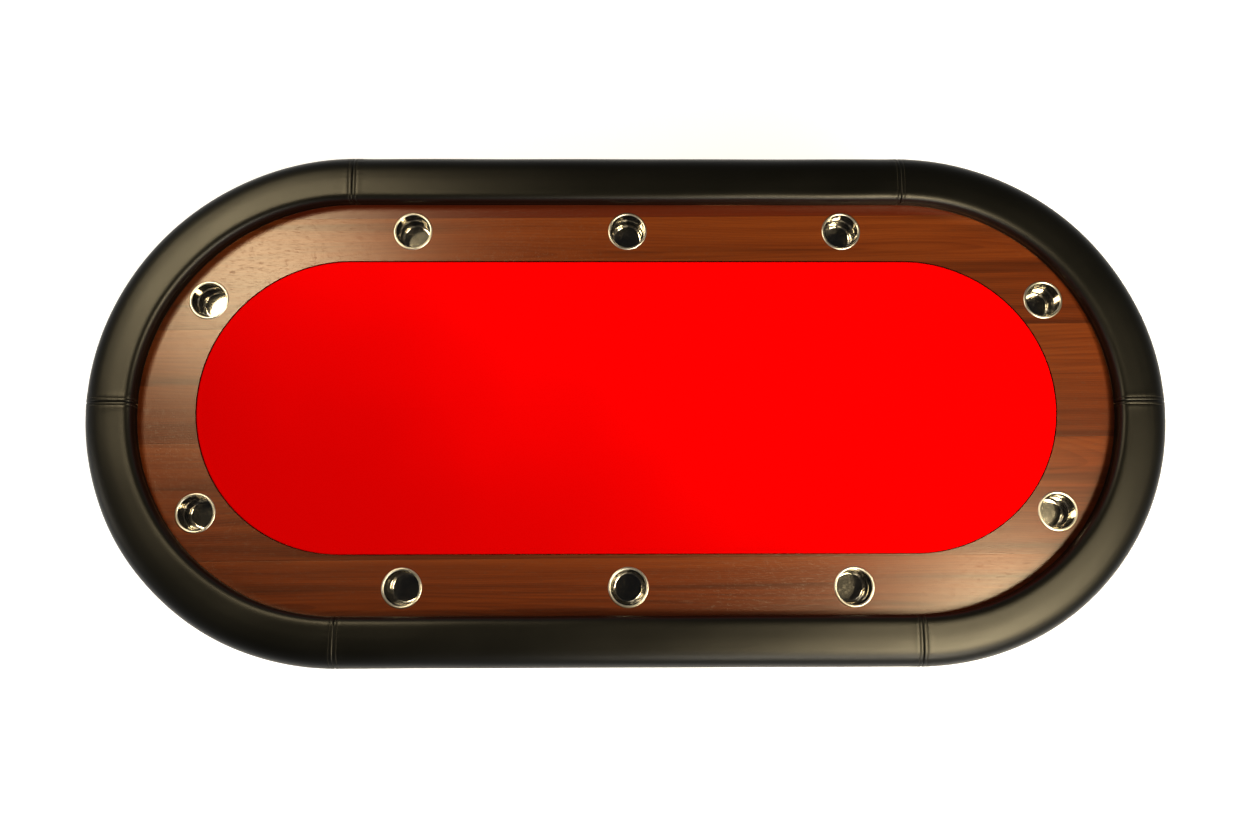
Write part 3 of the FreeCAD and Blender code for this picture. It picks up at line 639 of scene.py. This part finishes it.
def add_stitch(verts, faces, ends, side, out):
    """A thread lying between two points, with both ends dipping into the vinyl."""
    start, stop = ends
    first = len(verts)
    for share, rise, swell in STITCH_SHAPE:
        middle = start.lerp(stop, share) + out * (rise * THREAD_RADIUS)
        for k in range(THREAD_SIDES):
            turn = k * math.pi / 3
            spoke = side * math.cos(turn) + out * math.sin(turn)
            verts.append(middle + spoke * (THREAD_RADIUS * swell))
    for ring in range(len(STITCH_SHAPE) - 1):
        a = first + ring * THREAD_SIDES
        b = a + THREAD_SIDES
        faces += [(a + k, a + (k + 1) % THREAD_SIDES, b + (k + 1) % THREAD_SIDES, b + k)
                  for k in range(THREAD_SIDES)]
    faces.append(tuple(first + k for k in reversed(range(THREAD_SIDES))))
    faces.append(tuple(len(verts) - THREAD_SIDES + k for k in range(THREAD_SIDES)))


def on_section(girth):
    """The section's (out, up, normal out, normal up) at a distance along it."""
    i = min(int(girth / section_girth * (len(section) - 1)), len(section) - 2)
    share = (girth - section[i][0]) / (section[i + 1][0] - section[i][0])
    here, there = section[i][1:] + normals[i], section[i + 1][1:] + normals[i + 1]
    return [a + (b - a) * share for a, b in zip(here, there)]


# The panel before a seam between a straight and a round one. The other two seams, at the tips, lie
# between two quarters of one round end.
PANEL_BEFORE = {"back": "right_back", "left_back": "back", "front": "left_front",
                "right_front": "front"}


def build_stitches(name):
    """Both rows along the seam where a panel starts."""
    verts, faces = [], []
    for offset in (-SEAM_ROW, SEAM_ROW):
        if offset < 0 and name in PANEL_BEFORE:
            at, length = PANELS[PANEL_BEFORE[name]]
            x, nx, ny = at(length + offset)
        else:
            at, _ = PANELS[name]
            x, nx, ny = at(offset)
        outward = Vector((nx, ny, 0))
        along = Vector((-ny, nx, 0))
        girth = STITCH_MARGIN
        while girth < section_girth - STITCH_MARGIN:
            ends = []
            for place in (girth, girth + STITCH_LENGTH):
                out, up, _, _ = on_section(place)
                ends.append(Vector((x, 0, 0)) + outward * (rail_inner + out)
                            + Vector((0, 0, rail_low + up)))
            _, _, n_out, n_up = on_section(girth + STITCH_LENGTH / 2)
            away = (outward * n_out + Vector((0, 0, n_up))).normalized()
            add_stitch(verts, faces, ends, along, away)
            girth += STITCH_PITCH
    return mesh_piece(f"seam_stitches_{name}", verts, faces, thread)


for name in PANELS:
    build_stitches(name)

wear("rail_board", plywood("birch_rail", *BIRCH_EDGE, 0.002, rail_low))


# ---- staples ---------------------------------------------------------------------------------
# The covers are pulled tight and stapled to the rail board's underside, where the rail overhangs
# the base board: one row of galvanised staples right round the table.

STAPLE_CROWN = 0.0110
STAPLE_WIRE = 0.0007
STAPLE_PITCH = 0.0270
STAPLE_STRAY = 0.0008       # out of line, either way
STAPLE_LEAN = 0.12          # slope out of line, either way
staple_reach = base_high.y + 0.62 * (rail_outer - base_high.y)

# A box's corners, as halves of its length, width and height, and its faces.
CORNERS = ((-1, -1, -1), (1, -1, -1), (1, 1, -1), (-1, 1, -1),
           (-1, -1, 1), (1, -1, 1), (1, 1, 1), (-1, 1, 1))
BOX_FACES = ((3, 2, 1, 0), (4, 5, 6, 7), (0, 1, 5, 4), (1, 2, 6, 5), (2, 3, 7, 6), (3, 0, 4, 7))


def galvanised(coords):
    spangle = coords.noise(900, 2.0, 0.6)
    return {"Base Color": spangle.tint(color(0.45, 0.46, 0.47), color(0.62, 0.63, 0.64)),
            "Roughness": 0.28 + spangle * 0.2}


def build_staples():
    draw = random.Random(8)
    verts, faces = [], []
    for name, (at, length) in PANELS.items():
        count = round(length / STAPLE_PITCH)
        for i in range(count):
            x, nx, ny = at(length * (i + 0.5 + draw.uniform(-0.08, 0.08)) / count)
            outward, along = Vector((nx, ny, 0)), Vector((-ny, nx, 0))
            along = (along + outward * draw.uniform(-STAPLE_LEAN, STAPLE_LEAN)).normalized()
            across = along.cross(Vector((0, 0, 1)))
            reach = staple_reach + draw.uniform(-STAPLE_STRAY, STAPLE_STRAY)
            middle = Vector((x, 0, rail_low - 0.0001)) + outward * reach
            first = len(verts)
            for a, b, c in CORNERS:
                verts.append(middle + along * (a * STAPLE_CROWN / 2) + across * (b * STAPLE_WIRE)
                             + Vector((0, 0, c * STAPLE_WIRE / 2)))
            faces += [tuple(first + k for k in quad) for quad in BOX_FACES]
    wire = finish("galvanised_wire", galvanised, Metallic=1.0)
    return mesh_piece("rail_cover_staples", verts, faces, wire)


staples = build_staples()


# ---- bolts and screws ------------------------------------------------------------------------
# Zinc-plated bolts, washers and nuts hold the rail and the leg pivots, and black wood screws hold
# the racetrack, the playing panel and the brackets from below.

def zinc_plate(coords):
    cloudy = coords.noise(140, 3.0, 0.6)
    scuff = coords.noise(900, 2.0, 0.6).step(0.55, 0.75)
    return {"Base Color": cloudy.tint(color(0.50, 0.50, 0.48), color(0.66, 0.66, 0.64)),
            "Roughness": 0.24 + cloudy * 0.14 + scuff * 0.12,
            "Normal": bump(scuff, 0.00003, 0.4)}


def black_oxide(coords):
    rub = coords.noise(420, 3.0, 0.6).step(0.55, 0.75)
    return {"Base Color": rub.tint(color(0.018, 0.018, 0.019), color(0.060, 0.058, 0.056)),
            "Roughness": 0.38 + rub * 0.16}


zinc = finish("zinc_plate", zinc_plate, Metallic=1.0)
oxide = finish("black_oxide", black_oxide, Metallic=0.6)
ZINC_PLATED = ("rail_bolts", "rail_washers", "rail_tee_nuts", "pivot_", "clamp_studs",
               "clamp_washers")
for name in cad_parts:
    if name.startswith(ZINC_PLATED):
        wear(name, zinc)
    if name.endswith("_screws") or name.startswith("bracket_screws"):
        wear(name, oxide)


# ---- leg frames ------------------------------------------------------------------------------
# Two welded steel tube frames that hang in pressed brackets and fold up under the board. Legs,
# crossbars and brackets are powder-coated black, with a fine dry texture.

def powder_coat(coords):
    orange_peel = coords.noise(520, 2.0, 0.5)
    speck = coords.noise(2400, 1.0, 0.5)
    worn = coords.noise(16, 4.0, 0.65).step(0.66, 0.80)
    return {"Base Color": worn.tint(color(0.016, 0.016, 0.017), color(0.030, 0.030, 0.031)),
            "Roughness": 0.42 + speck * 0.14 - worn * 0.08,
            "Normal": bump(orange_peel * 0.6 + speck * 0.4, 0.00010, 0.45)}


coated = finish("black_powder_coat", powder_coat, Specular_IOR_Level=0.5)
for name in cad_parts:
    if name.startswith(("leg_left", "leg_right", "leg_bracket", "upper_crossbar", "lower_crossbar")):
        wear(name, coated)


# ---- foot caps, plugs and knobs --------------------------------------------------------------
# Moulded rubber caps stand on the floor, moulded nylon plugs close the tubes' top ends, and nylon
# star knobs on the clamp studs hold each leg frame open or folded.

def foot_rubber(coords):
    dust = coords.part("Z").step(0.030, 0.0)
    mottle = coords.noise(160, 3.0, 0.6)
    dusty = dust * 0.30 * mottle
    return {"Base Color": dusty.tint(color(0.018, 0.018, 0.018), color(0.20, 0.18, 0.16)),
            "Roughness": 0.62 + mottle * 0.2,
            "Normal": bump(mottle, 0.00015, 0.35)}


def moulded_nylon(coords):
    spark = coords.noise(1300, 2.0, 0.6)
    return {"Base Color": spark.tint(color(0.014, 0.014, 0.015), color(0.026, 0.026, 0.027)),
            "Roughness": 0.44 + spark * 0.16,
            "Normal": bump(spark, 0.00008, 0.5)}


rubber = finish("moulded_rubber", foot_rubber, Specular_IOR_Level=0.35)
nylon = finish("moulded_nylon", moulded_nylon)
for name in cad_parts:
    if name.startswith("foot_caps"):
        wear(name, rubber)
    if name.startswith(("clamp_knob", "leg_plugs")):
        wear(name, nylon)


# ---- floor, lights and camera ----------------------------------------------------------------
# A plain pale studio floor and five soft light panels: two warm ones that the wood mirrors at the
# left end and at the front right, a warm one that lights the front rail, and two low ones that
# fill in. The camera looks down from almost straight above the front side.

def pale_floor(coords):
    return {"Base Color": color(0.80, 0.84, 0.92)}


FLOOR_HALF = 30.0
floor_corners = [(x * FLOOR_HALF, y * FLOOR_HALF, 0.0)
                 for x, y in ((-1, -1), (1, -1), (1, 1), (-1, 1))]
floor_mesh = bpy.data.meshes.new("studio_floor")
floor_mesh.from_pydata(floor_corners, [], [(0, 1, 2, 3)])
floor_mesh.materials.append(finish("pale_floor", pale_floor, Roughness=0.9, Specular_IOR_Level=0.1,
                                   Emission_Color=color(0.97, 0.98, 1.0), Emission_Strength=0.52))
floor = bpy.data.objects.new("studio_floor", floor_mesh)
bpy.context.scene.collection.objects.link(floor)


def soft_panel(name, place, aim, size, power, tone):
    """A rectangle of light, size metres and power watts, turned to aim on the table's surface."""
    target = Vector((*aim, table_height))
    lamp = bpy.data.lights.new(name, "AREA")
    lamp.shape = "RECTANGLE"
    lamp.size, lamp.size_y = size
    lamp.energy = power
    lamp.color = tone
    made = bpy.data.objects.new(name, lamp)
    made.location = place
    made.rotation_euler = (target - Vector(place)).to_track_quat("-Z", "Y").to_euler()
    bpy.context.scene.collection.objects.link(made)


table_height = race_high.z
WARM = (1.0, 0.83, 0.52)
soft_panel("upper_left", (-1.68, 0.96, 3.05), (-0.75, 0.80), (0.80, 0.80), 44, WARM)
soft_panel("upper_right", (1.74, -0.57, 3.05), (1.0, -0.3), (0.50, 0.42), 26, WARM)
soft_panel("front_window", (1.62, -1.30, 3.05), (1.25, 0.2), (1.05, 0.75), 74, WARM)
soft_panel("front_low", (1.45, -3.1, 3.0), (0.9, 0.0), (2.2, 1.0), 62, (1.0, 0.93, 0.79))
soft_panel("left_low", (-4.3, -0.7, 2.2), (-0.3, 0.0), (0.7, 1.6), 12, (1.0, 0.92, 0.76))

# The room is pale near the floor and dark overhead, where the table's top would mirror it.
ROOM_STRENGTH = 0.8
world = bpy.data.worlds.new("studio")
world.use_nodes = True
sky = Wire(world.node_tree)
up = sky.node("ShaderNodeTexCoord", {}, {}, "Generated").part("Z")
shade = up.node("ShaderNodeValToRGB", {"stops": [
    (0.0, color(0.80, 0.80, 0.79)), (0.10, color(0.54, 0.54, 0.53)), (0.30, color(0.27, 0.26, 0.25)),
    (0.60, color(0.12, 0.115, 0.11)), (0.85, color(0.018, 0.018, 0.018))]}, {"Fac": up})
world.node_tree.links.new(shade.end, world.node_tree.nodes["Background"].inputs["Color"])
world.node_tree.nodes["Background"].inputs["Strength"].default_value = ROOM_STRENGTH
bpy.context.scene.world = world
bpy.context.scene.view_settings.view_transform = "Standard"
bpy.context.scene.view_settings.look = "Medium High Contrast"

CAMERA_LENS = 28.8
CAMERA_SENSOR = 36.0
CAMERA_RISE = 2.2523        # over the racetrack
CAMERA_TURNS = ((0.08, "Z"), (0.52, "Y"), (-9.19, "X"))     # degrees away from straight down
camera_place = Vector((-0.0274, -0.3938, table_height + CAMERA_RISE))
roll, yaw, pitch = (Matrix.Rotation(math.radians(turn), 3, axis) for turn, axis in CAMERA_TURNS)
camera_turn = (roll @ yaw @ pitch).transposed()
lens = bpy.data.cameras.new("camera")
lens.lens = CAMERA_LENS
lens.sensor_width = CAMERA_SENSOR
camera = bpy.data.objects.new("camera", lens)
camera.matrix_world = Matrix.Translation(camera_place) @ camera_turn.to_4x4()
bpy.context.scene.collection.objects.link(camera)
bpy.context.scene.camera = camera
